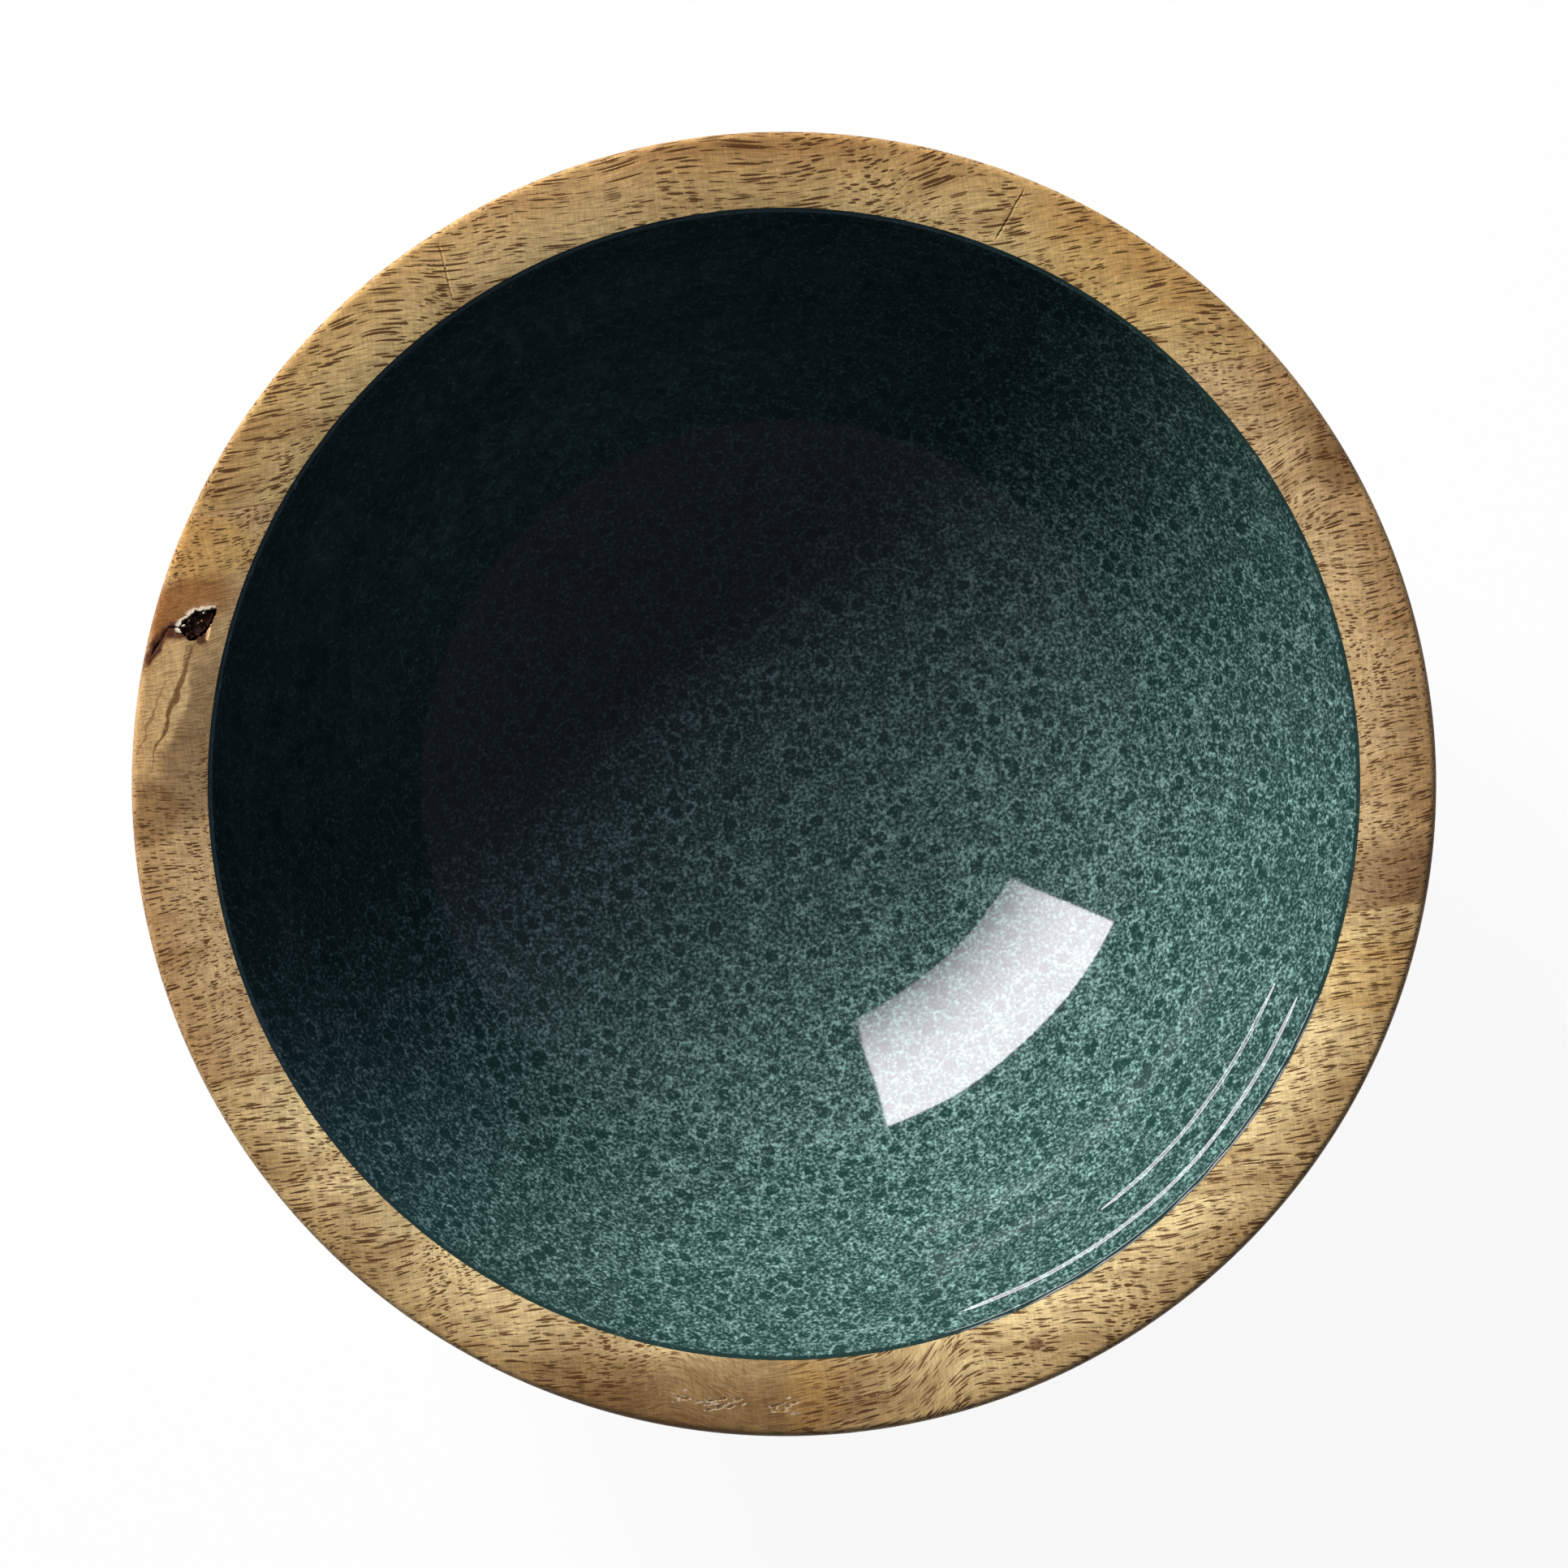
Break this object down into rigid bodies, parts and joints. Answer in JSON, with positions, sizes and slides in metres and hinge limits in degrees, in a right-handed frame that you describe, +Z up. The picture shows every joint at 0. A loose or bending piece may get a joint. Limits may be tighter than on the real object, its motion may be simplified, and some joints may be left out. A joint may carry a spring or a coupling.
{
  "type": "serving bowl",
  "caption": "Round turned serving bowl of edge-glued mango boards, with a wide gently crowned rim, a low foot ring and a dark green speckled gloss enamel lining.",
  "frame": {"origin": "on the bowl's axis, at the level of the foot ring that it stands on", "axes": "+Z up along the bowl's axis, +X along the boards, +Y towards the back board"},
  "size_m": [0.25, 0.25, 0.084],
  "materials": {
    "mango_wood_back": "oiled satin, golden with brown vessel lines",
    "mango_wood_middle": "oiled satin, greyer brown with dark streaks and a knot",
    "mango_wood_front": "oiled satin, golden with fine short vessel lines",
    "wood_glue": "cured wood glue, dull brown",
    "bark": "rough ingrown bark",
    "ground_coat": "dull near-black coat",
    "gloss_enamel": "high gloss, dark teal green with a pale speckle"
  },
  "bodies": {
    "root": {"back_board": "mango_wood_back", "middle_board": "mango_wood_middle", "front_board": "mango_wood_front", "rear_glue_line": "wood_glue", "front_glue_line": "wood_glue", "bark_inclusion": "bark", "ground_coat": "ground_coat", "gloss_enamel": "gloss_enamel"}
  },
  "joints": []
}
